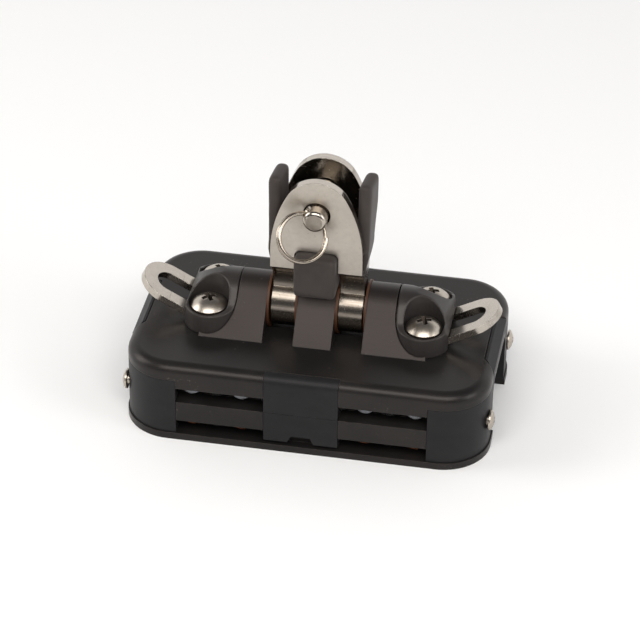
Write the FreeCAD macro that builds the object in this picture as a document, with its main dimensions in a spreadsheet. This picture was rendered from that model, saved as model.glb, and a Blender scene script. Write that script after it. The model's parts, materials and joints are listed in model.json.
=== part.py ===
import FreeCAD, Part
import math
import os
import re

import Sketcher

# Track car for a sailing boat: a ball-bearing car body with a tilting stand-up toggle.
# +X runs along the track, +Y away from the front, +Z up, millimetres.
# The origin is the middle of the underside of the car body.

os.makedirs("parts", exist_ok=True)
doc = FreeCAD.newDocument("track_car")
Vector = FreeCAD.Vector
Rotation = FreeCAD.Rotation
Placement = FreeCAD.Placement

# Driving dimensions

driving = {
    # car body
    "car_length": 100.0,
    "car_width": 60.0,
    "top_height": 23.65,
    "corner_radius": 13.3,
    "overcut": 1.0,
    "top_round": 3.0,
    "flange_thickness": 2.05,
    "flange_proud": 0.4,
    "channel_half_width": 12.2,
    "channel_shoulder": 14.9,
    "channel_top": 17.6,
    "channel_top_half_width": 10.0,
    # ball circuits
    "ball_radius": 3.1,
    "balls_per_circuit": 25,
    "upper_row_height": 15.5,
    "lower_row_height": 5.35,
    "row_inset": 5.7,
    "turn_radius": 5.2,
    "tunnel_clearance": 0.12,
    # openings in the sides
    "window_start": 10.2,
    "cap_length": 15.9,
    "upper_window_top": 16.5,
    "rail_top": 12.1,
    "rail_bottom": 6.1,
    # pieces let into the sides and ends
    "side_piece_thickness": 2.2,
    "gate_bottom": 3.0,
    "gate_arch_half_width": 3.6,
    "gate_arch_height": 2.0,
    "gate_arch_slope": 1.0,
    "cap_top": 19.0,
    "seam_gap": 0.1,
    "bumper_depth": 3.3,
    "bumper_inner_half_width": 9.8,
    "bumper_outer_half_width": 13.5,
    "bumper_slope_drop": 2.2,
    "bumper_lip": 0.7,
    "bumper_gap": 0.25,
    # screws through the corner caps
    "cap_screw_radius": 1.5,
    "cap_screw_length": 24.0,
    "cap_screw_height": 10.5,
    "cap_screw_head_radius": 2.8,
    "cap_screw_head_height": 1.5,
    "cap_screw_rim": 0.5,
    "cap_recess_depth": 0.8,
    "cap_recess_arm": 1.2,
    "cap_recess_slot": 0.35,
    # hinge saddle
    "hinge_height": 29.15,
    "knuckle_radius": 7.5,
    "saddle_foot": 14.17,
    "saddle_overlap": 9.2,
    "centre_knuckle_half": 5.2,
    "outer_knuckle_start": 13.6,
    "hinge_pin_radius": 3.0,
    "washer_thickness": 0.6,
    "washer_radius": 7.9,
    "axial_play": 0.1,
    "side_play": 0.5,
    "running_clearance": 0.05,
    "sweep_clearance": 0.3,
    # end blocks
    "block_inset": 13.6,
    "block_length": 14.6,
    "block_half_width": 13.3,
    "block_corner_radius": 7.2,
    "block_land_height": 30.2,
    "block_rim_height": 29.6,
    "block_blend": 1.4,
    "block_crown_length": 10.8,
    "block_crown_radius": 10.83,
    "block_end_height": 26.6,
    "block_gap": 0.25,
    "pocket_radius": 5.5,
    "pocket_floor": 28.9,
    "block_screw_inset": 6.9,
    "block_screw_y": 7.1,
    "block_screw_radius": 2.5,
    "block_screw_tip": 18.8,
    "block_screw_head_radius": 4.95,
    "block_screw_rim": 1.0,
    "block_screw_head_height": 3.4,
    "recess_depth": 1.9,
    "recess_arm": 2.1,
    "recess_slot": 0.55,
    "right_screw_turn": 20.0,
    "left_screw_turn": 35.0,
    # bails
    "bail_thickness": 2.0,
    "bail_foot_inset": 2.6,
    "bail_bend_inset": 3.2,
    "bail_foot_half_width": 10.4,
    "bail_half_width": 7.35,
    "bail_slot_half_width": 3.55,
    "bail_angle": 28.0,
    "bail_reach": 18.6,
    "bail_end_wall": 4.0,
    # toggle
    "barrel_radius": 7.0,
    "bush_radius": 4.2,
    "neck_half_width": 3.2,
    "flare_radius": 8.5,
    "plate_half_depth": 7.8,
    "plate_thickness": 2.5,
    "plate_bottom": 44.5,
    "plate_top": 72.0,
    "plate_tip_radius": 9.0,
    "plate_side_radius": 38.0,
    "yoke_floor": 46.5,
    "notch_top": 50.4,
    "notch_round": 1.6,
    "clevis_height": 62.3,
    "clevis_hole_radius": 3.7,
    # stand-up insert
    "insert_gap": 0.2,
    "insert_depth": 11.5,
    "insert_lip_height": 37.4,
    "insert_round": 2.0,
    "tab_corner_round": 1.4,
    "fin_half_depth": 4.6,
    "fin_inner": 10.3,
    "fin_outer": 14.0,
    "fin_foot_outer": 13.6,
    "fin_top": 70.3,
    "fin_round": 1.2,
    "fin_end_round": 1.2,
    "fin_corner_round": 0.9,
    "insert_bar_height": 4.0,
    # clevis pin and split ring
    "clevis_pin_radius": 3.2,
    "clevis_head_radius": 5.0,
    "clevis_head_thickness": 2.0,
    "clevis_nose": 12.2,
    "clevis_tip_radius": 2.5,
    "clevis_shoulder_height": 1.0,
    "clevis_shoulder_radius": 1.0,
    "ring_hole_inset": 1.5,
    "ring_hole_radius": 0.85,
    "ring_hole_mouth": 1.95,
    "ring_hole_reach": 3.6,
    "ring_wire_radius": 0.58,
    "ring_mean_radius": 6.42,
    "ring_turns": 1.7,
    "ring_pitch": 1.2,
    "ring_tilt": 45.0,
    "ring_hang": 37.6,
}

sheet = doc.addObject("Spreadsheet::Sheet", "Sizes")
for row, (alias, value) in enumerate(driving.items(), start=1):
    sheet.set(f"A{row}", alias)
    sheet.set(f"B{row}", str(value))
    sheet.setAlias(f"B{row}", alias)
doc.recompute()

# Sizes that follow from the driving ones, as expressions

derived = {
    "body_half_length": "(car_length / 2 - flange_proud)",
    "window_end": "(car_length / 2 - cap_length)",
    "block_end": "(car_length / 2 - block_inset)",
    "block_start": "(block_end - block_length)",
    "block_crown_start": "(block_end - block_crown_length)",
    "block_screw_x": "(block_end - block_screw_inset)",
    "bail_foot_start": "(block_start + bail_foot_inset)",
    "bail_bend": "(block_end - bail_bend_inset)",
    "saddle_half_length": "(block_start + saddle_overlap)",
    "body_half_width": "(car_width / 2 - flange_proud)",
    "tunnel_radius": "(ball_radius + tunnel_clearance)",
    "outer_row": "(car_width / 2 - row_inset)",
    "inner_row": "(outer_row - 2 * turn_radius)",
    "circuit_middle": "(outer_row - turn_radius)",
    "circuit_length": "(4 * window_end + 2 * pi * turn_radius)",
    "ball_pitch": "(circuit_length / balls_per_circuit)",
    "side_piece_inner": "(body_half_width - side_piece_thickness)",
    "side_piece_half": "(window_start - seam_gap)",
    "clip_top_edge": "(body_half_width - top_round)",
    "bumper_inner": "(car_length / 2 - bumper_depth)",
    "hinge_rise": "(hinge_height - top_height)",
    "headroom": "(hinge_rise + knuckle_radius + overcut)",
    "saddle_reach": "(sqrt(saddle_foot ^ 2 + hinge_rise ^ 2))",
    "saddle_angle": "(acos(knuckle_radius / saddle_reach) - atan(hinge_rise / saddle_foot))",
    "ramp_y": "(knuckle_radius * cos(saddle_angle))",
    "ramp_z": "(hinge_height + knuckle_radius * sin(saddle_angle))",
    "land_start": "(saddle_foot - (block_land_height - top_height) * tan(saddle_angle))",
    "land_slope": "(atan((block_land_height - block_rim_height) / (block_half_width - land_start)))",
    "blend_radius": "(block_blend / tan((90 deg - saddle_angle - land_slope) / 2))",
    "blend_low_y": "(land_start + block_blend * cos(land_slope))",
    "blend_low_z": "(block_land_height - block_blend * sin(land_slope))",
    "blend_high_y": "(land_start - block_blend * sin(saddle_angle))",
    "blend_high_z": "(block_land_height + block_blend * cos(saddle_angle))",
    "barrel_start": "(centre_knuckle_half + washer_thickness + axial_play)",
    "barrel_end": "(outer_knuckle_start - washer_thickness - side_play)",
    "toggle_groove_radius": "(washer_radius + sweep_clearance)",
    "insert_bore": "(knuckle_radius + 2 * sweep_clearance)",
    "pin_half_length": "(block_start)",
    "notch_half": "(barrel_start)",
    "insert_half": "(barrel_start - insert_gap)",
    "tip_centre": "(plate_top - plate_tip_radius)",
    "side_centre": "(plate_side_radius - barrel_end)",
    "side_rise": "(sqrt((plate_side_radius - plate_tip_radius) ^ 2 - side_centre ^ 2))",
    "side_start": "(tip_centre - side_rise)",
    "plate_inner": "(plate_half_depth - plate_thickness)",
    "ring_hole_depth": "(plate_half_depth + ring_hole_inset)",
    "ring_arc_radius": "(sqrt(ring_mean_radius ^ 2 + (ring_pitch / 4) ^ 2))",
    "ring_arc_lean": "(atan(ring_pitch / 4 / ring_mean_radius))",
}


def bound(expression):
    # An expression in the sizes' own names, written out for the spreadsheet
    def spell(match):
        word = match.group(0)
        if word in derived:
            return bound(derived[word])
        if word in driving:
            return "Sizes." + word
        return word
    return re.sub(r"[a-z][a-z_]+", spell, str(expression))


def number(expression):
    # The present value of an expression, in millimetres or degrees
    result = sheet.evalExpression(bound(expression))
    return float(getattr(result, "Value", result))


def bind(item, property_name, expression):
    item.setExpression(property_name, bound(expression))


def move_to(item, x=0, y=0, z=0, turn=None):
    if turn is not None:
        item.Placement = Placement(Vector(), turn)
    for axis, expression in zip("xyz", (x, y, z)):
        bind(item, f".Placement.Base.{axis}", expression)


# Plain solids bound to the sheet


def box(name, x, y, z):
    # A block between two limits along each axis
    block = doc.addObject("Part::Box", name)
    for side, (low, high) in zip(("Length", "Width", "Height"), (x, y, z)):
        bind(block, side, f"({high}) - ({low})")
    move_to(block, x[0], y[0], z[0])
    return block


turn_to = {
    "x": Rotation(Vector(0, 1, 0), 90),
    "y": Rotation(Vector(1, 0, 0), -90),
    "z": Rotation(),
}


def rod(name, axis, radius, span, centre):
    # A round bar along one axis; centre gives its place on the other two
    bar = doc.addObject("Part::Cylinder", name)
    bind(bar, "Radius", radius)
    bind(bar, "Height", f"({span[1]}) - ({span[0]})")
    place = list(centre)
    place.insert("xyz".index(axis), span[0])
    move_to(bar, *place, turn=turn_to[axis])
    return bar


def fuse(name, *pieces):
    joined = doc.addObject("Part::MultiFuse", name)
    joined.Shapes = list(pieces)
    return joined


def group(name, *pieces):
    # Separate solids kept side by side under one name
    compound = doc.addObject("Part::Compound", name)
    compound.Links = list(pieces)
    return compound


def cut(name, base, *tools):
    remainder = doc.addObject("Part::Cut", name)
    remainder.Base = base
    remainder.Tool = tools[0] if len(tools) == 1 else group(name + "_tools", *tools)
    return remainder


def common(name, *pieces):
    overlap = doc.addObject("Part::MultiCommon", name)
    overlap.Shapes = list(pieces)
    return overlap


def mirrored(name, source, normal):
    copy = doc.addObject("Part::Mirroring", name)
    copy.Source = source
    copy.Normal = normal
    return copy


across = Vector(0, 1, 0)
along = Vector(1, 0, 0)


# Sketched bodies


def new_body(name):
    return doc.addObject("PartDesign::Body", name)


def sketch_on(body, name, plane, offset=0, tilt=None):
    drawing = body.newObject("Sketcher::SketchObject", name)
    support = next(item for item in body.Origin.OriginFeatures if item.Role == plane)
    drawing.AttachmentSupport = (support, [""])
    drawing.MapMode = "FlatFace"
    if tilt is not None:
        drawing.AttachmentOffset = Placement(Vector(), tilt)
    bind(drawing, ".AttachmentOffset.Base.z", offset)
    return drawing


def arc_geometry(start, end, radius, side):
    # The short arc from start to end whose centre lies on the given side of the way
    middle = (start + end) * 0.5
    half = (end - start) * 0.5
    height = math.sqrt(max(radius ** 2 - half.Length ** 2, 0.0))
    left = Vector(-half.y, half.x, 0).normalize()
    centre = middle + left * (height if side == "left" else -height)
    ends = (start, end) if side == "left" else (end, start)
    angles = [math.atan2(point.y - centre.y, point.x - centre.x) for point in ends]
    return Part.ArcOfCircle(Part.Circle(centre, Vector(0, 0, 1), radius), *angles)


def outline(drawing, corners):
    # Each corner is (x, y) after a straight edge, or (x, y, radius, side) after an arc.
    # The first corner closes the outline, so its arc is the last edge.
    points = [Vector(number(corner[0]), number(corner[1]), 0) for corner in corners]
    edges = []
    for index in range(len(corners)):
        following = (index + 1) % len(corners)
        start, end, corner = points[index], points[following], corners[following]
        if len(corner) == 2:
            edge = drawing.addGeometry(Part.LineSegment(start, end), False)
            edges.append((edge, 1, 2))
        else:
            arc = arc_geometry(start, end, number(corner[2]), corner[3])
            edge = drawing.addGeometry(arc, False)
            drawing.addConstraint(Sketcher.Constraint("Radius", edge, number(corner[2])))
            bind(drawing, f"Constraints[{drawing.ConstraintCount - 1}]", corner[2])
            edges.append((edge, 1, 2) if corner[3] == "left" else (edge, 2, 1))
    for index, (edge, first, last) in enumerate(edges):
        following = edges[(index + 1) % len(edges)]
        drawing.addConstraint(
            Sketcher.Constraint("Coincident", edge, last, following[0], following[1]))
        for kind, value in zip(("DistanceX", "DistanceY"), corners[index][:2]):
            drawing.addConstraint(Sketcher.Constraint(kind, edge, first, number(value)))
            bind(drawing, f"Constraints[{drawing.ConstraintCount - 1}]", value)


def circle(drawing, x, y, radius):
    centre = Vector(number(x), number(y), 0)
    edge = drawing.addGeometry(Part.Circle(centre, Vector(0, 0, 1), number(radius)), False)
    for kind, value in (("DistanceX", x), ("DistanceY", y)):
        drawing.addConstraint(Sketcher.Constraint(kind, edge, 3, number(value)))
        bind(drawing, f"Constraints[{drawing.ConstraintCount - 1}]", value)
    drawing.addConstraint(Sketcher.Constraint("Radius", edge, number(radius)))
    bind(drawing, f"Constraints[{drawing.ConstraintCount - 1}]", radius)


def rounded_rectangle(x_low, x_high, y_low, y_high, radius):
    return [
        (f"{x_low} + {radius}", y_low, radius, "left"),
        (f"{x_high} - {radius}", y_low),
        (x_high, f"{y_low} + {radius}", radius, "left"),
        (x_high, f"{y_high} - {radius}"),
        (f"{x_high} - {radius}", y_high, radius, "left"),
        (f"{x_low} + {radius}", y_high),
        (x_low, f"{y_high} - {radius}", radius, "left"),
        (x_low, f"{y_low} + {radius}"),
    ]


def pad(body, drawing, length):
    feature = body.newObject("PartDesign::Pad", drawing.Name + "_pad")
    feature.Profile = drawing
    bind(feature, "Length", length)
    body.Tip = feature
    return feature


def pocket(body, drawing, length):
    feature = body.newObject("PartDesign::Pocket", drawing.Name + "_pocket")
    feature.Profile = drawing
    bind(feature, "Length", length)
    body.Tip = feature
    return feature


def extrusion(name, plane, offset, length, corners, tilt=None):
    # A body that is one outline padded from the offset along the plane's normal
    body = new_body(name)
    drawing = sketch_on(body, name + "_outline", plane, offset, tilt)
    outline(drawing, corners)
    pad(body, drawing, length)
    return body


def turned(name, axis, corners):
    # A body turned about the sketch's vertical axis
    body = new_body(name)
    drawing = sketch_on(body, name + "_section", "XZ_Plane")
    outline(drawing, corners)
    feature = body.newObject("PartDesign::Revolution", name + "_turn")
    feature.Profile = drawing
    feature.ReferenceAxis = (drawing, ["V_Axis"])
    feature.Angle = 360
    body.Tip = feature
    body.Placement = Placement(Vector(), axis)
    return body


def round_edges(body, radius, chosen):
    # A fillet on the edges of the body's last feature that the test picks out
    doc.recompute()
    base = body.Tip
    names = [
        f"Edge{index}"
        for index, edge in enumerate(base.Shape.Edges, start=1)
        if chosen(edge)
    ]
    feature = body.newObject("PartDesign::Fillet", base.Name + "_round")
    feature.Base = (base, names)
    bind(feature, "Radius", radius)
    body.Tip = feature
    return feature


def lies_at(height):
    # True for edges that lie flat at a given height
    level = number(height)

    def test(edge):
        return abs(edge.BoundBox.ZMin - level) < 1e-4 and abs(edge.BoundBox.ZMax - level) < 1e-4

    return test


parts = {}


def finish(name, item):
    item.Label = name
    parts[name] = item


# Car body: a rounded block on a thin flange, with the hinge saddle on top

blank = new_body("blank")
flange_sketch = sketch_on(blank, "flange", "XY_Plane")
outline(flange_sketch, rounded_rectangle(
    "-car_length / 2", "car_length / 2", "-car_width / 2", "car_width / 2", "corner_radius"))
pad(blank, flange_sketch, "flange_thickness")
block_sketch = sketch_on(blank, "block", "XY_Plane")
outline(block_sketch, rounded_rectangle(
    "-body_half_length", "body_half_length", "-body_half_width", "body_half_width",
    "(corner_radius - flange_proud)"))
pad(blank, block_sketch, "top_height")
round_edges(blank, "top_round", lies_at("top_height"))


def saddle_outline():
    # The knuckle circle with a straight ramp down to the top face on each side
    return [
        ("-saddle_foot", "top_height - overcut"),
        ("saddle_foot", "top_height - overcut"),
        ("saddle_foot", "top_height"),
        ("ramp_y", "ramp_z"),
        ("-ramp_y", "ramp_z", "knuckle_radius", "left"),
        ("-saddle_foot", "top_height"),
    ]


saddle = extrusion(
    "saddle", "YZ_Plane", "-saddle_half_length", "2 * saddle_half_length", saddle_outline())


def block_plan(gap):
    return rounded_rectangle(
        f"(block_start - {gap})", f"(block_end + {gap})",
        f"(-block_half_width - {gap})", f"(block_half_width + {gap})",
        f"(block_corner_radius + {gap})")


block_room = extrusion("block_room", "XY_Plane", "top_height", "headroom", block_plan("block_gap"))
block_rooms = [block_room, mirrored("block_room_left", block_room, along)]
knuckle_rooms = []
for side, low, high in (
        ("right", "centre_knuckle_half", "outer_knuckle_start"),
        ("left", "-outer_knuckle_start", "-centre_knuckle_half")):
    knuckle_rooms.append(box(
        f"knuckle_gap_{side}", (low, high), ("-saddle_foot - overcut", "saddle_foot + overcut"),
        ("top_height", "hinge_height + knuckle_radius + overcut")))
    knuckle_rooms.append(rod(
        f"washer_groove_{side}", "x", "toggle_groove_radius", (low, high), (0, "hinge_height")))
knuckle_rooms.append(rod(
    "hinge_bore", "x", "hinge_pin_radius + running_clearance / 2",
    ("-saddle_half_length - overcut", "saddle_half_length + overcut"), (0, "hinge_height")))

channel_outline = [
    ("-channel_half_width", "-1"),
    ("channel_half_width", "-1"),
    ("channel_half_width", "channel_shoulder"),
    ("channel_top_half_width", "channel_top"),
    ("-channel_top_half_width", "channel_top"),
    ("-channel_half_width", "channel_shoulder"),
]
channel = extrusion(
    "channel", "YZ_Plane", "-car_length / 2 - overcut", "car_length + 2 * overcut", channel_outline)

# Ball circuits: two levels on each side, each a loop of a straight row along the
# channel, a turn in the corner cap, the return row behind the side windows and a turn

levels = {"upper": "upper_row_height", "lower": "lower_row_height"}
tunnels = {}
turns = []
for level, height in levels.items():
    for row in ("outer", "inner"):
        for face, sign in (("front", "-"), ("back", "")):
            tunnels[level, row, face] = rod(
                f"{level}_{row}_{face}_tunnel", "x", "tunnel_radius",
                ("-window_end - seam_gap", "window_end + seam_gap"),
                (f"{sign}{row}_row", height))
    turn = doc.addObject("Part::Torus", f"{level}_turn")
    bind(turn, "Radius1", "turn_radius")
    bind(turn, "Radius2", "tunnel_radius")
    move_to(turn, "window_end + seam_gap", "-circuit_middle", height)
    turns.append(turn)

windows = []
for side, low, high in (
        ("right", "window_start", "window_end + seam_gap"),
        ("left", "-window_end - seam_gap", "-window_start")):
    for face, y_low, y_high in (
            ("front", "-car_width / 2 - overcut", "-outer_row"),
            ("back", "outer_row", "car_width / 2 + overcut")):
        windows.append(box(
            f"lower_window_{face}_{side}", (low, high), (y_low, y_high),
            ("flange_thickness", "rail_bottom")))
        windows.append(box(
            f"upper_window_{face}_{side}", (low, high), (y_low, y_high),
            ("rail_top", "upper_window_top")))

# Recess behind the side pieces: behind the whole face and over the rounded edge

recesses = []
for face, y_low, y_high in (
        ("front", "-car_width / 2 - overcut", "-side_piece_inner"),
        ("back", "side_piece_inner", "car_width / 2 + overcut")):
    recesses.append(box(
        f"side_recess_{face}", ("-window_start", "window_start"), (y_low, y_high),
        ("flange_thickness", "top_height + overcut")))
for face, y_low, y_high in (
        ("front", "-car_width / 2 - overcut", "-clip_top_edge"),
        ("back", "clip_top_edge", "car_width / 2 + overcut")):
    recesses.append(box(
        f"top_recess_{face}", ("-window_start", "window_start"), (y_low, y_high),
        ("top_height - side_piece_thickness", "top_height + overcut")))


def bumper_plan(gap):
    # A trapezium that widens towards the end of the car
    return [
        (f"bumper_inner - {gap}", f"-bumper_inner_half_width - {gap}"),
        ("car_length / 2 + overcut", f"-bumper_outer_half_width - {gap} - overcut"),
        ("car_length / 2 + overcut", f"bumper_outer_half_width + {gap} + overcut"),
        (f"bumper_inner - {gap}", f"bumper_inner_half_width + {gap}"),
    ]


bumper_room = extrusion(
    "bumper_room", "XY_Plane", "cap_top", "top_height", bumper_plan("bumper_gap"))
end_rooms = [bumper_room, mirrored("bumper_room_left", bumper_room, along)]
for face, y_low, y_high in (
        ("front", "-car_width / 2 - overcut", "-channel_top_half_width"),
        ("back", "channel_top_half_width", "car_width / 2 + overcut")):
    cap_room = box(
        f"cap_room_{face}", ("window_end", "car_length / 2 + overcut"), (y_low, y_high),
        ("flange_thickness", "cap_top"))
    end_rooms += [cap_room, mirrored(f"cap_room_{face}_left", cap_room, along)]

screw_holes = []
for x_sign, side in (("", "right"), ("-", "left")):
    for y_sign, face in (("-", "front"), ("", "back")):
        screw_holes.append(rod(
            f"block_screw_hole_{face}_{side}", "z", "block_screw_radius + running_clearance",
            ("block_screw_tip", "top_height + overcut"),
            (f"{x_sign}block_screw_x", f"{y_sign}block_screw_y")))
cap_screw_holes = {}
for y_sign, face in (("-", "front"), ("", "back")):
    hole = rod(
        f"cap_screw_hole_{face}", "x", "cap_screw_radius + running_clearance",
        ("body_half_length - cap_screw_length", "car_length / 2 + overcut"),
        (f"{y_sign}circuit_middle", "cap_screw_height"))
    cap_screw_holes[face] = hole
    screw_holes += [hole, mirrored(f"cap_screw_hole_{face}_left", hole, along)]

saddle_cut = cut("saddle_cut", saddle, *block_rooms, *knuckle_rooms)
block_cut = cut("block_cut", blank, *knuckle_rooms)
car_solid = fuse("car_solid", block_cut, saddle_cut)
finish("car_body", cut(
    "car_body", car_solid, channel, *tunnels.values(), *windows, *recesses, *end_rooms,
    *screw_holes))

# Corner caps: they fill the corners under the top plate and hold the ball turns

cap_block = box(
    "cap_block", ("window_end + seam_gap", "car_length / 2 + overcut"),
    ("-car_width / 2 - overcut", "-channel_top_half_width"),
    ("flange_thickness", "cap_top - seam_gap"))
upright_form = extrusion("upright_form", "XY_Plane", 0, "top_height", rounded_rectangle(
    "-body_half_length", "body_half_length", "-body_half_width", "body_half_width",
    "(corner_radius - flange_proud)"))
cap_form = common("cap_form", upright_form, cap_block)
corner_cap = cut(
    "corner_cap_front_right", cap_form, channel, *turns, cap_screw_holes["front"])
finish("corner_cap_front_right", corner_cap)
cap_left = mirrored("corner_cap_front_left", corner_cap, along)
finish("corner_cap_front_left", cap_left)
finish("corner_cap_back_right", mirrored("corner_cap_back_right", corner_cap, across))
finish("corner_cap_back_left", mirrored("corner_cap_back_left", cap_left, across))

# End bumpers: plastic strips across both ends, over the channel, with a sloping top

bumper_section = [
    ("bumper_inner", "cap_top"),
    ("body_half_length", "cap_top"),
    ("body_half_length", "top_height - bumper_slope_drop"),
    ("bumper_inner + bumper_lip", "top_height"),
    ("bumper_inner", "top_height"),
]
bumper_profile = extrusion(
    "bumper_profile", "XZ_Plane", "-car_width / 2", "car_width", bumper_section)
bumper_form = extrusion("bumper_form", "XY_Plane", 0, "top_height + overcut", bumper_plan("0"))
bumper = common("end_bumper_right", bumper_profile, bumper_form)
finish("end_bumper_right", bumper)
finish("end_bumper_left", mirrored("end_bumper_left", bumper, along))

# Side clips above the rail and ball gates below it, in the middle of each side

clip_region = box(
    "clip_region", ("-side_piece_half", "side_piece_half"),
    ("-car_width / 2 - overcut", "-clip_top_edge - seam_gap"),
    ("rail_top + seam_gap / 2", "top_height + overcut"))
clip_core = box(
    "clip_core", ("-window_start - overcut", "window_start + overcut"), ("-side_piece_inner", "0"),
    ("0", "top_height - side_piece_thickness"))
upper_row_tunnel = tunnels["upper", "outer", "front"]
lower_row_tunnel = tunnels["lower", "outer", "front"]
clip = cut(
    "side_clip_front", common("clip_form", blank, clip_region), clip_core, upper_row_tunnel)
finish("side_clip_front", clip)
finish("side_clip_back", mirrored("side_clip_back", clip, across))

gate_block = extrusion(
    "gate_block", "XZ_Plane", "side_piece_inner", "side_piece_thickness", [
        ("-side_piece_half", "gate_bottom"),
        ("-gate_arch_half_width", "gate_bottom"),
        ("-gate_arch_half_width + gate_arch_slope", "gate_bottom + gate_arch_height"),
        ("gate_arch_half_width - gate_arch_slope", "gate_bottom + gate_arch_height"),
        ("gate_arch_half_width", "gate_bottom"),
        ("side_piece_half", "gate_bottom"),
        ("side_piece_half", "rail_top - seam_gap / 2"),
        ("-side_piece_half", "rail_top - seam_gap / 2"),
    ])
gate = cut("ball_gate_front", gate_block, upper_row_tunnel, lower_row_tunnel)
finish("ball_gate_front", gate)
finish("ball_gate_back", mirrored("ball_gate_back", gate, across))

# Balls: every other ball of a circuit is a black spacer


def circuit_point(index):
    # Where the centre of one ball lies in plan, counted round the circuit
    way = f"(({index} + 0.5) * ball_pitch)"
    arc = "(pi * turn_radius)"
    first_turn = f"(({way} - window_end) / turn_radius * 180 / pi)"
    second_turn = f"(({way} - 3 * window_end - {arc}) / turn_radius * 180 / pi)"
    stations = (
        ("window_end", way, "outer_row"),
        (f"window_end + {arc}", f"window_end + turn_radius * sin({first_turn})",
         f"circuit_middle + turn_radius * cos({first_turn})"),
        (f"3 * window_end + {arc}", f"2 * window_end + {arc} - {way}", "inner_row"),
        (f"3 * window_end + 2 * {arc}", f"-window_end - turn_radius * sin({second_turn})",
         f"circuit_middle - turn_radius * cos({second_turn})"),
        ("circuit_length", f"{way} - circuit_length", "outer_row"),
    )
    return next((x, y) for limit, x, y in stations if number(way) < number(limit))


def balls(name, level, parity):
    # Every other ball of one level's two circuits
    spheres = []
    for sign in ("-", ""):
        for index in range(parity, int(number("balls_per_circuit")), 2):
            x, y = circuit_point(index)
            ball = doc.addObject("Part::Sphere", name + "_ball")
            bind(ball, "Radius", "ball_radius")
            move_to(ball, x, f"{sign}({y})", levels[level])
            spheres.append(ball)
    return spheres


finish("white_balls", group("white_balls", *balls("white", "upper", 0)))
finish("orange_balls", group("orange_balls", *balls("orange", "lower", 0)))
finish("black_balls", group(
    "black_balls", *balls("black_upper", "upper", 1), *balls("black_lower", "lower", 1)))

# Hinge pin and the thrust washers beside the knuckles

finish("hinge_pin", rod(
    "hinge_pin", "x", "hinge_pin_radius", ("-pin_half_length", "pin_half_length"),
    (0, "hinge_height")))
washer_bore = rod(
    "washer_bore", "x", "hinge_pin_radius + running_clearance", ("-car_length", "car_length"),
    (0, "hinge_height"))
washers = []
for index, (low, high) in enumerate((
        ("centre_knuckle_half", "centre_knuckle_half + washer_thickness"),
        ("outer_knuckle_start - washer_thickness", "outer_knuckle_start"),
        ("-centre_knuckle_half - washer_thickness", "-centre_knuckle_half"),
        ("-outer_knuckle_start", "-outer_knuckle_start + washer_thickness"))):
    disc = rod(f"washer_disc_{index}", "x", "washer_radius", (low, high), (0, "hinge_height"))
    washers.append(cut(f"washer_{index}", disc, washer_bore))
finish("thrust_washers", group("thrust_washers", *washers))

# Toggle: two barrels on the hinge pin that flare out into a pair of clevis plates

barrel_join = "hinge_height + sqrt(barrel_radius ^ 2 - neck_half_width ^ 2)"
toggle_side = [
    ("-plate_half_depth", "plate_top + overcut"),
    ("-plate_half_depth", "plate_bottom"),
    ("-neck_half_width", barrel_join, "flare_radius", "right"),
    ("0", "hinge_height - barrel_radius", "barrel_radius", "left"),
    ("neck_half_width", barrel_join, "barrel_radius", "left"),
    ("plate_half_depth", "plate_bottom", "flare_radius", "right"),
    ("plate_half_depth", "plate_top + overcut"),
    ("plate_inner", "plate_top + overcut"),
    ("plate_inner", "yoke_floor"),
    ("-plate_inner", "yoke_floor"),
    ("-plate_inner", "plate_top + overcut"),
]
toggle_section = extrusion(
    "toggle_section", "YZ_Plane", "-barrel_end - overcut", "2 * (barrel_end + overcut)", toggle_side)
tip_x = "plate_tip_radius * side_centre / (plate_side_radius - plate_tip_radius)"
tip_z = "tip_centre + plate_tip_radius * side_rise / (plate_side_radius - plate_tip_radius)"
toggle_front = [
    ("notch_half", "hinge_height - barrel_radius - overcut"),
    ("barrel_end", "hinge_height - barrel_radius - overcut"),
    ("barrel_end", "side_start"),
    (tip_x, tip_z, "plate_side_radius", "left"),
    (f"-{tip_x}", tip_z, "plate_tip_radius", "left"),
    ("-barrel_end", "side_start", "plate_side_radius", "left"),
    ("-barrel_end", "hinge_height - barrel_radius - overcut"),
    ("-notch_half", "hinge_height - barrel_radius - overcut"),
    ("-notch_half", "notch_top - notch_round"),
    ("-notch_half + notch_round", "notch_top", "notch_round", "right"),
    ("notch_half - notch_round", "notch_top"),
    ("notch_half", "notch_top - notch_round", "notch_round", "right"),
]
toggle_face = extrusion(
    "toggle_face", "XZ_Plane", "-plate_half_depth - overcut",
    "2 * (plate_half_depth + overcut)", toggle_front)
toggle_form = common("toggle_form", toggle_section, toggle_face)
clevis_hole = rod(
    "clevis_hole", "y", "clevis_hole_radius", ("-plate_half_depth - overcut", "plate_half_depth + overcut"),
    (0, "clevis_height"))
barrel_bore = rod(
    "barrel_bore", "x", "bush_radius", ("-barrel_end - overcut", "barrel_end + overcut"),
    (0, "hinge_height"))
finish("toggle", cut("toggle", toggle_form, clevis_hole, barrel_bore))

bushes = []
for side, low, high in (
        ("right", "barrel_start", "barrel_end"), ("left", "-barrel_end", "-barrel_start")):
    sleeve = rod(f"bush_{side}", "x", "bush_radius", (low, high), (0, "hinge_height"))
    bushes.append(cut(f"bush_sleeve_{side}", sleeve, washer_bore))
finish("barrel_bushes", group("barrel_bushes", *bushes))

# Stand-up insert: a rubber piece held between the plates, with a tab out of each
# notch and a fin up each side of the shackle space

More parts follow.
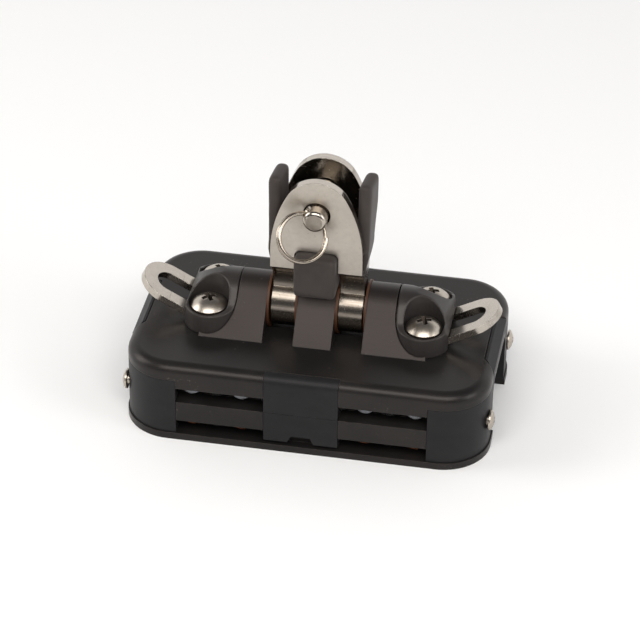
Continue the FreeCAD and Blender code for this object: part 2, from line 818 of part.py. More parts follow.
tab_outline = [
    ("-insert_depth", "insert_lip_height + insert_round"),
    ("-insert_depth + insert_round", "insert_lip_height", "insert_round", "left"),
    ("insert_depth - insert_round", "insert_lip_height"),
    ("insert_depth", "insert_lip_height + insert_round", "insert_round", "left"),
    ("insert_depth", "notch_top - insert_gap - insert_round"),
    ("insert_depth - insert_round", "notch_top - insert_gap", "insert_round", "left"),
    ("-insert_depth + insert_round", "notch_top - insert_gap"),
    ("-insert_depth", "notch_top - insert_gap - insert_round", "insert_round", "left"),
]
tab_block = extrusion("tab_block", "YZ_Plane", "-insert_half", "2 * insert_half", tab_outline)
insert_bore = rod(
    "insert_bore", "x", "insert_bore", ("-insert_half - overcut", "insert_half + overcut"),
    (0, "hinge_height"))
tab_face = extrusion(
    "tab_face", "XZ_Plane", "-insert_depth - overcut", "2 * (insert_depth + overcut)", rounded_rectangle(
        "-insert_half", "insert_half", "insert_lip_height", "(notch_top - insert_gap)",
        "notch_round"))
tab_plan = extrusion("tab_plan", "XY_Plane", "insert_lip_height", "notch_top", rounded_rectangle(
    "-insert_half", "insert_half", "-insert_depth", "insert_depth", "tab_corner_round"))
tabs = cut("tabs", common("tab_form", tab_block, tab_face, tab_plan), insert_bore)
insert_bar = box(
    "insert_bar", ("-fin_foot_outer", "fin_foot_outer"),
    ("-plate_inner + insert_gap / 2", "plate_inner - insert_gap / 2"),
    ("yoke_floor", "yoke_floor + insert_bar_height"))
fin_front = extrusion(
    "fin_front", "XZ_Plane", "-plate_half_depth", "2 * plate_half_depth", [
        ("fin_inner", "yoke_floor"),
        ("fin_foot_outer", "yoke_floor"),
        ("fin_outer", "fin_top - fin_round"),
        ("fin_outer - fin_round", "fin_top", "fin_round", "left"),
        ("fin_inner + fin_round", "fin_top"),
        ("fin_inner", "fin_top - fin_round", "fin_round", "left"),
    ])
fin_side = extrusion(
    "fin_side", "YZ_Plane", "fin_inner - overcut", "fin_outer", [
        ("-fin_half_depth", "yoke_floor"),
        ("fin_half_depth", "yoke_floor"),
        ("fin_half_depth", "fin_top - fin_end_round"),
        ("fin_half_depth - fin_end_round", "fin_top", "fin_end_round", "left"),
        ("-fin_half_depth + fin_end_round", "fin_top"),
        ("-fin_half_depth", "fin_top - fin_end_round", "fin_end_round", "left"),
    ])
fin_plan = extrusion("fin_plan", "XY_Plane", "yoke_floor", "fin_top", rounded_rectangle(
    "fin_inner", "fin_outer", "-fin_half_depth", "fin_half_depth", "fin_corner_round"))
fin_right = common("fin_right", fin_front, fin_side, fin_plan)
fin_left = mirrored("fin_left", fin_right, along)
finish("standup_insert", fuse("standup_insert", tabs, insert_bar, fin_right, fin_left))

# Clevis pin: turned, with a head behind the far plate and a domed nose in front

clevis_pin_section = [
    ("0", "-clevis_nose"),
    ("clevis_tip_radius", "-clevis_nose"),
    ("clevis_pin_radius", "-clevis_nose + clevis_shoulder_height", "clevis_shoulder_radius", "left"),
    ("clevis_pin_radius", "plate_half_depth + axial_play"),
    ("clevis_head_radius", "plate_half_depth + axial_play"),
    ("clevis_head_radius", "plate_half_depth + axial_play + clevis_head_thickness"),
    ("0", "plate_half_depth + axial_play + clevis_head_thickness"),
]
clevis_blank = turned("clevis_blank", turn_to["y"], clevis_pin_section)
bind(clevis_blank, ".Placement.Base.z", "clevis_height")
hole_axis = Rotation(across, 90 + number("ring_hang"))
mouths = []
for side, along_hole in (("out", hole_axis), ("back", hole_axis.multiply(Rotation(across, 180)))):
    mouth = doc.addObject("Part::Cone", f"ring_hole_{side}")
    bind(mouth, "Radius1", "ring_hole_radius")
    bind(mouth, "Radius2", "ring_hole_mouth")
    bind(mouth, "Height", "ring_hole_reach")
    move_to(mouth, 0, "-ring_hole_depth", "clevis_height", turn=along_hole)
    mouths.append(mouth)
finish("clevis_pin", cut("clevis_pin", clevis_blank, *mouths))

# Split ring: round wire wound in half turns, each leaning to rise by half the pitch,
# and hung through the cross hole of the pin


def wound_wire():
    half_turns = 2 * number("ring_turns")
    arcs = []
    for index in range(math.ceil(half_turns)):
        arc = doc.addObject("Part::Torus", f"ring_arc_{index}")
        bind(arc, "Radius1", "ring_arc_radius")
        bind(arc, "Radius2", "ring_wire_radius")
        bind(arc, "Angle3", f"180 * min(1; 2 * ring_turns - {index})")
        lean = number("ring_arc_lean") * (-1 if index % 2 else 1)
        turn = Rotation(across, lean).multiply(Rotation(Vector(0, 0, 1), 180 * index))
        move_to(arc, 0, 0, f"ring_pitch / 2 * ({index} + 0.5)", turn=turn)
        arcs.append(arc)
    return fuse("split_ring", *arcs)


def ring_placement():
    # The middle of the wire lies in the cross hole and the ring hangs below it
    turns = number("ring_turns")
    part_turn = math.pi * (turns - math.floor(turns))
    rise = math.floor(turns) + 0.5 - 0.5 * math.cos(part_turn)
    middle = Vector(0, 0, -number("ring_pitch / 2") * rise)
    wound = Rotation(Vector(0, 0, 1), -180 * turns)
    to_hole = Placement(Vector(-number("ring_mean_radius"), 0, 0), Rotation())
    facing = Rotation(Vector(0, 0, 1), Vector(1, 0, 0), Vector(0, 1, 0), "ZXY")
    tilt = Rotation(Vector(1, 0, 0), -number("ring_tilt"))
    swing = Rotation(Vector(0, 1, 0), number("ring_hang"))
    hole = Vector(0, -number("ring_hole_depth"), number("clevis_height"))
    hang = Placement(hole, swing.multiply(tilt).multiply(facing))
    return hang.multiply(to_hole).multiply(Placement(Vector(), wound)).multiply(
        Placement(middle, Rotation()))


ring = wound_wire()
ring.Placement = ring_placement()
finish("split_ring", ring)

# Bails: bent stainless plates, the foot under the end block and a slotted loop outside

foot_body = new_body("bail_foot")
foot_sketch = sketch_on(foot_body, "bail_foot_plan", "XY_Plane", "top_height")
outline(foot_sketch, [
    ("bail_foot_start", "-bail_foot_half_width"),
    ("bail_bend", "-bail_foot_half_width"),
    ("bail_bend", "bail_foot_half_width"),
    ("bail_foot_start", "bail_foot_half_width"),
])
for y_sign in ("-", ""):
    circle(
        foot_sketch, "block_screw_x", f"{y_sign}block_screw_y",
        "block_screw_radius + 2 * running_clearance")
pad(foot_body, foot_sketch, "bail_thickness")

loop_body = new_body("bail_loop")
loop_sketch = sketch_on(loop_body, "bail_loop_plan", "XY_Plane")
slot_end = "bail_reach - bail_end_wall"
outline(loop_sketch, [
    ("0", "-bail_half_width"),
    ("bail_reach - bail_half_width", "-bail_half_width"),
    ("bail_reach", "0", "bail_half_width", "left"),
    ("bail_reach - bail_half_width", "bail_half_width", "bail_half_width", "left"),
    ("0", "bail_half_width"),
])
outline(loop_sketch, [
    ("bail_thickness", "-bail_slot_half_width"),
    (f"{slot_end} - bail_slot_half_width", "-bail_slot_half_width"),
    (slot_end, "0", "bail_slot_half_width", "left"),
    (f"{slot_end} - bail_slot_half_width", "bail_slot_half_width", "bail_slot_half_width", "left"),
    ("bail_thickness", "bail_slot_half_width"),
])
pad(loop_body, loop_sketch, "bail_thickness")
loop_body.Placement = Placement(Vector(), Rotation(Vector(0, 1, 0), -number("bail_angle")))
bind(loop_body, ".Placement.Base.x", "bail_bend")
bind(loop_body, ".Placement.Base.z", "top_height")
bail = fuse("bail_right", foot_body, loop_body)
finish("bail_right", bail)
finish("bail_left", mirrored("bail_left", bail, along))

# End blocks: plastic blocks over the ends of the hinge pin, each with two screw pockets

block_form = extrusion("block_form_plan", "XY_Plane", "top_height", "headroom", block_plan("0"))
block_side = extrusion(
    "block_side", "YZ_Plane", "block_start - overcut", "block_end", [
        ("-block_half_width - overcut", "top_height"),
        ("block_half_width + overcut", "top_height"),
        ("block_half_width + overcut", "block_rim_height"),
        ("block_half_width", "block_rim_height"),
        ("blend_low_y", "blend_low_z"),
        ("blend_high_y", "blend_high_z", "blend_radius", "right"),
        ("ramp_y", "ramp_z"),
        ("-ramp_y", "ramp_z", "knuckle_radius", "left"),
        ("-blend_high_y", "blend_high_z"),
        ("-blend_low_y", "blend_low_z", "blend_radius", "right"),
        ("-block_half_width", "block_rim_height"),
        ("-block_half_width - overcut", "block_rim_height"),
    ])
block_front = extrusion(
    "block_front", "XZ_Plane", "-block_half_width - overcut", "2 * (block_half_width + overcut)", [
        ("block_start - overcut", "top_height"),
        ("block_end", "top_height"),
        ("block_end", "block_end_height"),
        ("block_crown_start", "hinge_height + knuckle_radius", "block_crown_radius", "left"),
        ("block_start - overcut", "hinge_height + knuckle_radius"),
    ])
block_blank = common("block_blank", block_form, block_side, block_front)
block_cuts = []
for y_sign, face in (("-", "front"), ("", "back")):
    block_cuts.append(rod(
        f"pocket_{face}", "z", "pocket_radius", ("pocket_floor", "top_height + headroom"),
        ("block_screw_x", f"{y_sign}block_screw_y")))
    block_cuts.append(rod(
        f"block_hole_{face}", "z", "block_screw_radius + 2 * running_clearance",
        ("top_height - overcut", "pocket_floor + overcut"), ("block_screw_x", f"{y_sign}block_screw_y")))
foot_room = box(
    "foot_room", ("bail_foot_start - seam_gap", "bail_bend + seam_gap"),
    ("-bail_foot_half_width - seam_gap", "bail_foot_half_width + seam_gap"),
    ("top_height - overcut", "top_height + bail_thickness"))
loop_room = extrusion(
    "loop_room", "XZ_Plane", "-bail_half_width - seam_gap", "2 * (bail_half_width + seam_gap)", [
        ("bail_bend - overcut", "top_height - overcut"),
        ("block_end + overcut", "top_height - overcut"),
        ("block_end + overcut", "top_height + (block_end + overcut - bail_bend) * tan(bail_angle)"
         " + (bail_thickness + seam_gap) / cos(bail_angle)"),
        ("bail_bend - overcut", "top_height - overcut * tan(bail_angle)"
         " + (bail_thickness + seam_gap) / cos(bail_angle)"),
    ])
pin_room = rod(
    "pin_room", "x", "hinge_pin_radius + running_clearance",
    ("block_start - overcut", "pin_half_length + seam_gap"), (0, "hinge_height"))
end_block = cut("end_block_right", block_blank, *block_cuts, foot_room, loop_room, pin_room)
finish("end_block_right", end_block)
finish("end_block_left", mirrored("end_block_left", end_block, along))

# Screws: pan heads with a cross recess


def pan_head_screw(name, shank_length, head_height, rim, recess):
    # Drawn upright with the underside of its head at the origin; the cross recess is
    # given as its depth, half the length of an arm and half the width of a slot
    depth, arm, slot = recess
    dome_rise = f"({head_height} - {rim})"
    dome = f"(({name}_head_radius ^ 2 + {dome_rise} ^ 2) / (2 * {dome_rise}))"
    screw = turned(name + "_blank", Rotation(), [
        ("0", f"-{shank_length}"),
        (f"{name}_radius", f"-{shank_length}"),
        (f"{name}_radius", "0"),
        (f"{name}_head_radius", "0"),
        (f"{name}_head_radius", rim),
        ("0", head_height, dome, "left"),
    ])
    level = (f"{head_height} - {depth}", f"{head_height} + overcut")
    long_slot = box(f"{name}_long_slot", (f"-{arm}", arm), (f"-{slot}", slot), level)
    cross_slot = box(f"{name}_cross_slot", (f"-{slot}", slot), (f"-{arm}", arm), level)
    return cut(name, screw, long_slot, cross_slot)


def four_screws(name, screw, turns, x, y, z):
    # One copy of a screw at each of four places, with a turn for either end of the car
    copies = []
    for x_sign, side in (("", "right"), ("-", "left")):
        for y_sign, face in (("-", "front"), ("", "back")):
            copy = group(f"{name}_{face}_{side}", screw)
            move_to(copy, x_sign + x, y_sign + y, z, turn=turns[side])
            copies.append(copy)
    finish(name, group(name, *copies))


block_screw = pan_head_screw(
    "block_screw", "(pocket_floor - block_screw_tip - running_clearance)",
    "block_screw_head_height", "block_screw_rim", ("recess_depth", "recess_arm", "recess_slot"))
upright = Vector(0, 0, 1)
four_screws(
    "block_screws", block_screw,
    {side: Rotation(upright, number(f"{side}_screw_turn")) for side in ("right", "left")},
    "block_screw_x", "block_screw_y", "pocket_floor")

cap_screw = pan_head_screw(
    "cap_screw", "(cap_screw_length - running_clearance)", "cap_screw_head_height",
    "cap_screw_rim", ("cap_recess_depth", "cap_recess_arm", "cap_recess_slot"))
four_screws(
    "cap_screws", cap_screw, {"right": Rotation(across, 90), "left": Rotation(across, -90)},
    "body_half_length", "circuit_middle", "cap_screw_height")

# Check and write

doc.recompute()
for item in doc.Objects:
    if "Invalid" in item.State or "Error" in item.State:
        raise RuntimeError(f"{item.Name} is {item.State}")
for name, item in parts.items():
    shape = item.Shape
    if shape.isNull() or not shape.isValid() or not shape.Solids:
        raise RuntimeError(f"{name} has no valid solid")
for name, item in parts.items():
    item.Shape.exportStep(f"parts/{name}.step")
    print(f"{name}: {len(item.Shape.Solids)} solids, {item.Shape.Volume:.1f} mm3")
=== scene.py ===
import bpy
import bmesh
import json
import math
from mathutils import Matrix, Vector


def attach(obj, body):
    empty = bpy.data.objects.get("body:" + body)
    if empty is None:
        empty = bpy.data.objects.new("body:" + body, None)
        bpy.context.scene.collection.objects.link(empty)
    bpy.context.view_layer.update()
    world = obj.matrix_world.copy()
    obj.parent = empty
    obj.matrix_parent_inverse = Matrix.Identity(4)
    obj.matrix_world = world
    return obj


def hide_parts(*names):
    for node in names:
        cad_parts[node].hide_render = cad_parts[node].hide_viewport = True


# lengths are in metres, angles in degrees

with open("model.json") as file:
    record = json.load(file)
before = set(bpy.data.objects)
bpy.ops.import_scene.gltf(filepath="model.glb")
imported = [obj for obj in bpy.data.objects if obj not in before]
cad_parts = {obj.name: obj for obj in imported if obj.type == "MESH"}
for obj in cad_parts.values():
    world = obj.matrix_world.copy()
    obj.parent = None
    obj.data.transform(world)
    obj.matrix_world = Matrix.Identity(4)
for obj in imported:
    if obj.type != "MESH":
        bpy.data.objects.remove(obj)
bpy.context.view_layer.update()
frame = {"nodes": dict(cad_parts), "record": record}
nodes = frame["nodes"]
print("frame loaded:", len(nodes), "nodes")

# camera, as the car was photographed

cameraSettings = {
    "azimuth": 9.91, "elevation": 34.57, "roll": 0.68,
    "distance": 0.8662, "clip": (0.05, 20),
    "lens": 175.77, "sensor": 36.0,  # millimetres
    "originPixel": (319.6, 389.6), "imageSide": 640,  # where the car's origin shows
}


def placeCamera(settings):
    bpy.ops.object.camera_add()
    camera = bpy.context.object
    camera.data.lens = settings["lens"]
    camera.data.sensor_width = settings["sensor"]
    camera.data.clip_start, camera.data.clip_end = settings["clip"]
    azimuth, elevation, roll = (
        math.radians(settings[angle]) for angle in ("azimuth", "elevation", "roll"))
    back = Vector((
        math.sin(azimuth) * math.cos(elevation),
        -math.cos(azimuth) * math.cos(elevation),
        math.sin(elevation)))
    level = Vector((math.cos(azimuth), math.sin(azimuth), 0))
    rise = back.cross(level)
    right = level * math.cos(roll) + rise * math.sin(roll)
    up = rise * math.cos(roll) - level * math.sin(roll)
    focal = settings["lens"] / settings["sensor"] * settings["imageSide"]
    middle = settings["imageSide"] / 2
    perPixel = settings["distance"] / focal
    aside, below = (pixel - middle for pixel in settings["originPixel"])
    place = back * settings["distance"] - right * aside * perPixel + up * below * perPixel
    camera.matrix_world = Matrix((
        (right.x, up.x, back.x, place.x),
        (right.y, up.y, back.y, place.y),
        (right.z, up.z, back.z, place.z),
        (0, 0, 0, 1)))
    bpy.context.scene.camera = camera


placeCamera(cameraSettings)
print("camera placed")

# modelling helpers

edgeSettings = {
    "bevelSegments": 2,
    "shadingSamples": 6, "maskFrom": 0.01,  # edges that are rounded by the finish alone
}


def deselectAll():
    if bpy.context.object and bpy.context.object.mode != "OBJECT":
        bpy.ops.object.mode_set(mode="OBJECT")
    bpy.ops.object.select_all(action="DESELECT")


def makeActive(piece):
    deselectAll()
    piece.select_set(True)
    bpy.context.view_layer.objects.active = piece


def applyPlace(piece):
    makeActive(piece)
    bpy.ops.object.transform_apply(location=True, rotation=True, scale=True)


def applyModifier(piece, kind, **settings):
    makeActive(piece)
    modifier = piece.modifiers.new(kind.lower(), kind)
    for key, value in settings.items():
        setattr(modifier, key, value)
    bpy.ops.object.modifier_apply(modifier=modifier.name)


def cutAway(piece, cutter):
    applyModifier(piece, "BOOLEAN", object=cutter, operation="DIFFERENCE", solver="EXACT")
    bpy.data.objects.remove(cutter)


def bevelEdges(piece, width, sharperThan):
    applyModifier(
        piece, "BEVEL", width=width, segments=edgeSettings["bevelSegments"],
        limit_method="ANGLE", angle_limit=math.radians(sharperThan), use_clamp_overlap=True)


def smoothByAngle(piece, degrees):
    makeActive(piece)
    bpy.ops.object.shade_smooth_by_angle(angle=math.radians(degrees))


def editAll(piece):
    makeActive(piece)
    bpy.ops.object.mode_set(mode="EDIT")
    bpy.ops.mesh.select_all(action="SELECT")


def closeEdit():
    # faces outwards, back to object mode
    bpy.ops.mesh.select_all(action="SELECT")
    bpy.ops.mesh.normals_make_consistent(inside=False)
    bpy.ops.object.mode_set(mode="OBJECT")


def addDisc(sides, radius, height):
    deselectAll()
    bpy.ops.mesh.primitive_circle_add(
        vertices=sides, radius=radius, fill_type="NGON", location=(0, 0, height))
    return bpy.context.object


def raiseFace(rise, scale=1):
    # extrudes the selected face straight up, then widens or narrows it
    bpy.ops.mesh.extrude_region_move(TRANSFORM_OT_translate={"value": (0, 0, rise)})
    bpy.ops.transform.resize(value=(scale, scale, 1))


def editFacesFacing(piece, direction, within=25):
    # edit mode, with only the faces selected that look this way, within so many degrees
    makeActive(piece)
    bpy.ops.object.mode_set(mode="EDIT")
    bpy.ops.mesh.select_mode(type="FACE")
    bpy.ops.mesh.select_all(action="DESELECT")
    mesh = bmesh.from_edit_mesh(piece.data)
    for face in mesh.faces:
        if face.normal.angle(Vector(direction)) < math.radians(within):
            face.select_set(True)
    mesh.select_flush_mode()
    bmesh.update_edit_mesh(piece.data)


def named(piece, name):
    piece.name = name
    piece.data.name = name
    return piece


def joinPieces(pieces):
    deselectAll()
    for piece in pieces:
        piece.select_set(True)
    bpy.context.view_layer.objects.active = pieces[0]
    bpy.ops.object.join()
    return bpy.context.object


def copyOf(piece):
    twin = piece.copy()
    twin.data = piece.data.copy()
    bpy.context.scene.collection.objects.link(twin)
    return twin


# shader helpers


class Wire:
    # a socket that can be used in Python expressions, each operator adding a Math node
    def __init__(self, socket, finish):
        self.socket = socket
        self.finish = finish

    def maths(self, operation, first, second):
        return self.finish.node(
            "ShaderNodeMath", {"operation": operation}, {0: first, 1: second})

    def __add__(self, other):
        return self.maths("ADD", self, other)

    def __radd__(self, other):
        return self.maths("ADD", other, self)

    def __sub__(self, other):
        return self.maths("SUBTRACT", self, other)

    def __rsub__(self, other):
        return self.maths("SUBTRACT", other, self)

    def __mul__(self, other):
        return self.maths("MULTIPLY", self, other)

    def __rmul__(self, other):
        return self.maths("MULTIPLY", other, self)


class Finish:
    # the nodes of one material, or of the studio's sky
    def __init__(self, owner, coordinates="Object"):
        self.owner = owner
        owner.use_nodes = True
        self.tree = owner.node_tree
        self.tree.nodes.clear()
        self.place = self.node("ShaderNodeTexCoord", output=coordinates)

    def node(self, kind, settings=None, sockets=None, output=0):
        made = self.tree.nodes.new(kind)
        for key, value in (settings or {}).items():
            setattr(made, key, value)
        for key, value in (sockets or {}).items():
            if isinstance(value, Wire):
                self.tree.links.new(value.socket, made.inputs[key])
            else:
                made.inputs[key].default_value = value
        return Wire(made.outputs[output], self) if made.outputs else None

    def along(self, axis, vector=None):
        # one part of a vector, of the place on the object unless another is given
        return self.node("ShaderNodeSeparateXYZ", None, {"Vector": vector or self.place}, axis)

    def facing(self):
        # the direction of the surface, in the object's own axes
        return self.node("ShaderNodeTexCoord", None, None, "Normal")

    def dot(self, first, second):
        return self.node(
            "ShaderNodeVectorMath", {"operation": "DOT_PRODUCT"}, {0: first, 1: second}, "Value")

    def stretched(self, x, y, z, turn=(0, 0, 0)):
        # object coordinates at another scale along each axis, turned in radians
        return self.node("ShaderNodeMapping", None, {
            "Vector": self.place, "Scale": (x, y, z), "Rotation": turn})

    def noise(self, perMetre, detail=3, roughness=0.55, vector=None):
        return self.node("ShaderNodeTexNoise", None, {
            "Vector": vector or self.place,
            "Scale": perMetre, "Detail": detail, "Roughness": roughness})

    def between(self, value, low, high):
        # 0 at low, 1 at high, smooth between
        return self.node("ShaderNodeMapRange", {"interpolation_type": "SMOOTHSTEP"}, {
            "Value": value, "From Min": low, "From Max": high})

    def blend(self, factor, first, second):
        # colours go through a Mix node, whose colour sockets are 6, 7 and output 2
        mixed = self.node("ShaderNodeMix", {"data_type": "RGBA"}, None, 2)
        inputs = mixed.socket.node.inputs
        for socket, value in ((inputs[0], factor), (inputs[6], first), (inputs[7], second)):
            if isinstance(value, Wire):
                self.tree.links.new(value.socket, socket)
            else:
                socket.default_value = (*value, 1)
        return mixed

    def softNormal(self, radius):
        # the surface direction with its edges rounded over
        return self.node(
            "ShaderNodeBevel", {"samples": edgeSettings["shadingSamples"]}, {"Radius": radius})

    def edgeMask(self, rounded, full):
        # 1 along the rounded edges and 0 on the open faces
        plain = self.node("ShaderNodeNewGeometry", None, None, "Normal")
        return self.between(1 - self.dot(rounded, plain), edgeSettings["maskFrom"], full)

    def bump(self, height, depth, normal=None):
        sockets = {"Height": height, "Distance": depth, "Strength": 1}
        if normal:
            sockets["Normal"] = normal
        return self.node("ShaderNodeBump", None, sockets)

    def surface(self, **sockets):
        # the principled shader, named by its sockets' own names
        shader = self.node("ShaderNodeBsdfPrincipled", None, {
            key: (*value, 1) if isinstance(value, tuple) else value
            for key, value in sockets.items()})
        self.node("ShaderNodeOutputMaterial", None, {"Surface": shader})
        return self.owner


def newFinish(name):
    return Finish(bpy.data.materials.new(name))


# finishes: a noise is given by its features per metre, detail and roughness, and a span by the
# two values between which its mask rises

anodising = {
    "black": (0.0125, 0.0118, 0.0116), "brown": (0.0190, 0.0172, 0.0163),
    "worn": (0.10, 0.087, 0.077), "milled": (0.040, 0.0325, 0.0300),
    "chip": (0.19, 0.165, 0.145),
    "edgeRadius": 0.00035, "edgeFull": 0.35,
    "cloud": (45, 4), "cloudSpan": (0.35, 0.7), "cloudRoughness": 0.08,
    "grain": (5200, 2, 0.6), "grainRoughness": 0.05, "grainRelief": 0.7, "grainDepth": 0.000005,
    "rub": (900, 3), "rubSpan": (0.42, 0.62), "wear": 0.55, "wearPolish": 0.06,
    "chipSpots": (1500, 2), "chipSpotSpan": (0.66, 0.70), "chipFields": (140, 2),
    "chipFieldSpan": (0.58, 0.68), "chips": 0.35, "chipRelief": 0.6,
    "milledAbove": (0.0237, 0.0239), "endwaysSpan": (0.02, 0.2),
    # the crests facing up get less of the milled tint, a painted shade
    "upwardSpan": (0.78, 0.98), "paintedCrestShade": 0.65, "milledRoughness": 0.14,
    "cutterLines": (1500, 2, 0.6), "cutterStretch": (0.06, 1, 1), "cutterShare": (0.75, 0.5),
    "roughness": 0.26, "gloss": 0.27, "metallic": 0.15, "tint": (1.0, 0.92, 0.885),
}


def anodisedFinish(name, settings):
    # satin black anodising over blasted aluminium, worn brown at the edges
    finish = newFinish(name)
    rounded = finish.softNormal(settings["edgeRadius"])
    edge = finish.edgeMask(rounded, settings["edgeFull"])
    cloud = finish.noise(*settings["cloud"])
    grain = finish.noise(*settings["grain"])
    rub = finish.noise(*settings["rub"])
    spots = finish.between(finish.noise(*settings["chipSpots"]), *settings["chipSpotSpan"])
    fields = finish.between(finish.noise(*settings["chipFields"]), *settings["chipFieldSpan"])
    chips = spots * fields
    base = finish.blend(
        finish.between(cloud, *settings["cloudSpan"]), settings["black"], settings["brown"])
    # the milled slopes of the saddle face Y and up, above the top face: duller and browner; on
    # the crests that face up the tint is held back as painted shade
    normal = finish.facing()
    endways = finish.along("X", normal)
    slopes = 1 - finish.between(endways * endways, *settings["endwaysSpan"])
    # painted shade: up-facing crests are kept darker than the slopes
    shadedCrests = finish.between(finish.along("Z", normal), *settings["upwardSpan"])
    milled = slopes * (1 - shadedCrests * settings["paintedCrestShade"])
    milled = milled * finish.between(finish.along("Z"), *settings["milledAbove"])
    lines = finish.noise(*settings["cutterLines"], finish.stretched(*settings["cutterStretch"]))
    least, more = settings["cutterShare"]
    base = finish.blend(milled * (least + lines * more), base, settings["milled"])
    wear = edge * finish.between(rub, *settings["rubSpan"]) * settings["wear"]
    colour = finish.blend(wear, base, settings["worn"])
    colour = finish.blend(chips * settings["chips"], colour, settings["chip"])
    roughness = (
        settings["roughness"] + cloud * settings["cloudRoughness"]
        + grain * settings["grainRoughness"] - wear * settings["wearPolish"]
        + milled * settings["milledRoughness"])
    relief = grain * settings["grainRelief"] - chips * settings["chipRelief"]
    return finish.surface(**{
        "Base Color": colour, "Metallic": settings["metallic"], "Roughness": roughness,
        "Specular IOR Level": settings["gloss"], "Specular Tint": settings["tint"],
        "Normal": finish.bump(relief, settings["grainDepth"], rounded)})


moulding = {
    # what all the moulded pieces share
    "edgeFull": 0.4,
    "flow": (60, 4, 0.6), "flowStretch": (1, 0.35, 2.2), "flowSpan": (0.3, 0.75),
    "flowRoughness": 0.10, "sparkDetail": (2, 0.65), "sparkRoughness": 0.08,
    "specks": (2600, 2), "speckSpan": (0.70, 0.74), "rub": (700, 3), "rubSpan": (0.40, 0.65),
}
blackPlastic = {
    "dark": (0.0105, 0.0104, 0.0108), "light": (0.0155, 0.0152, 0.0156),
    "rubbed": (0.09, 0.083, 0.077), "wear": 0.35, "dust": 0.10,
    "roughness": 0.36, "gloss": 0.20, "tint": (1.0, 0.98, 0.99),
    "edgeRadius": 0.00025, "sparkPerMetre": 4200, "sparkDepth": 0.000008,
}
blockPlastic = {
    "dark": (0.0270, 0.0243, 0.0232), "light": (0.0385, 0.0346, 0.0330),
    "rubbed": (0.12, 0.107, 0.097), "wear": 0.35, "dust": 0.06,
    "roughness": 0.28, "gloss": 0.36, "tint": (1.0, 0.93, 0.88),
    "edgeRadius": 0.0005, "sparkPerMetre": 5200, "sparkDepth": 0.000006,
}
washerPolymer = {
    "dark": (0.060, 0.022, 0.0085), "light": (0.10, 0.038, 0.016),
    "rubbed": (0.20, 0.095, 0.05), "wear": 0.4, "dust": 0.1,
    "roughness": 0.42, "gloss": 0.4, "tint": (1.0, 0.95, 0.90),
    "edgeRadius": 0.0001, "sparkPerMetre": 5000, "sparkDepth": 0.000005,
}


def mouldedFinish(name, settings):
    # moulded plastic with a fine spark texture, dull flow marks and rubbed edges
    finish = newFinish(name)
    rounded = finish.softNormal(settings["edgeRadius"])
    edge = finish.edgeMask(rounded, moulding["edgeFull"])
    flow = finish.noise(*moulding["flow"], finish.stretched(*moulding["flowStretch"]))
    spark = finish.noise(settings["sparkPerMetre"], *moulding["sparkDetail"])
    dust = finish.between(finish.noise(*moulding["specks"]), *moulding["speckSpan"])
    rub = finish.between(finish.noise(*moulding["rub"]), *moulding["rubSpan"])
    base = finish.blend(
        finish.between(flow, *moulding["flowSpan"]), settings["dark"], settings["light"])
    wear = edge * rub * settings["wear"]
    colour = finish.blend(wear + dust * settings["dust"], base, settings["rubbed"])
    roughness = (settings["roughness"] + flow * moulding["flowRoughness"]
                 + spark * moulding["sparkRoughness"])
    return finish.surface(**{
        "Base Color": colour, "Roughness": roughness,
        "Specular IOR Level": settings["gloss"], "Specular Tint": settings["tint"],
        "Normal": finish.bump(spark, settings["sparkDepth"], rounded)})


steel = {
    # what all the steel pieces share
    "lineDetail": (2, 0.6), "lineRelief": 0.6,
    "smudge": (120, 4, 0.6), "smudgeShare": 0.65, "smear": (1100, 3, 0.6), "smearShare": 0.35,
    "smudgeSpan": (0.35, 0.70), "smudgeRoughness": 0.06,
    "pits": (3200, 2), "pitSpan": (0.70, 0.74), "pitDark": 0.25, "pitRelief": 0.5,
    "scratches": (1800, 1, 0.5), "scratchStretch": (1, 0.08, 1), "scratchTurn": (0.5, 0.9, 0.3),
    "scratchSpan": (0.70, 0.73), "scratchDark": 0.20, "scratchRoughness": 0.12,
    "scratchRelief": 0.4,
    "outsideWithin": 0.0002, "squareSpan": (0.85, 0.98), "recessRoughness": 0.2,
    "turning": (2400, 2, 0.7), "turningStretch": (0.04, 1, 1), "turningShare": (0.45, 0.75),
}
polishedStainless = {
    "bright": (0.50, 0.455, 0.40), "dull": (0.43, 0.39, 0.345), "markAndShade": (0.24, 0.21, 0.185),
    "roughness": 0.13, "lineRoughness": 0.10, "lineDepth": 0.000002, "edgeRadius": 0.0002,
    "linesPerMetre": 2600, "stretch": (1, 1, 0.05),
}
satinStainless = {
    "bright": (0.50, 0.450, 0.39), "dull": (0.39, 0.350, 0.30), "markAndShade": (0.17, 0.14, 0.12),
    "roughness": 0.24, "lineRoughness": 0.12, "lineDepth": 0.000003, "edgeRadius": 0.0001,
    "linesPerMetre": 3200, "stretch": (1, 1, 0.15),
}
polishedToggle = {
    "bright": (0.51, 0.465, 0.41), "dull": (0.44, 0.40, 0.352), "markAndShade": (0.24, 0.21, 0.185),
    "roughness": 0.10, "lineRoughness": 0.06, "lineDepth": 0.0000008, "edgeRadius": 0.00025,
    "linesPerMetre": 2600, "stretch": (1, 1, 0.05),
    "satinFrom": 0.0077, "satinRoughness": 0.22, "satinDull": 0.05,
    # painted shade: the barrels and the yoke low between the plates take a darker colour, with a
    # little more roughness
    "paintedShadeSpan": (0.046, 0.050), "paintedShade": (0.175, 0.150, 0.125), "paintedShadeRoughness": 0.09,
}
springWire = {
    "bright": (0.44, 0.385, 0.32), "dull": (0.34, 0.295, 0.245), "markAndShade": (0.16, 0.13, 0.105),
    "roughness": 0.12, "lineRoughness": 0.05, "lineDepth": 0.0000005, "edgeRadius": 0.0001,
    "linesPerMetre": 1200, "stretch": (1, 1, 1),
}


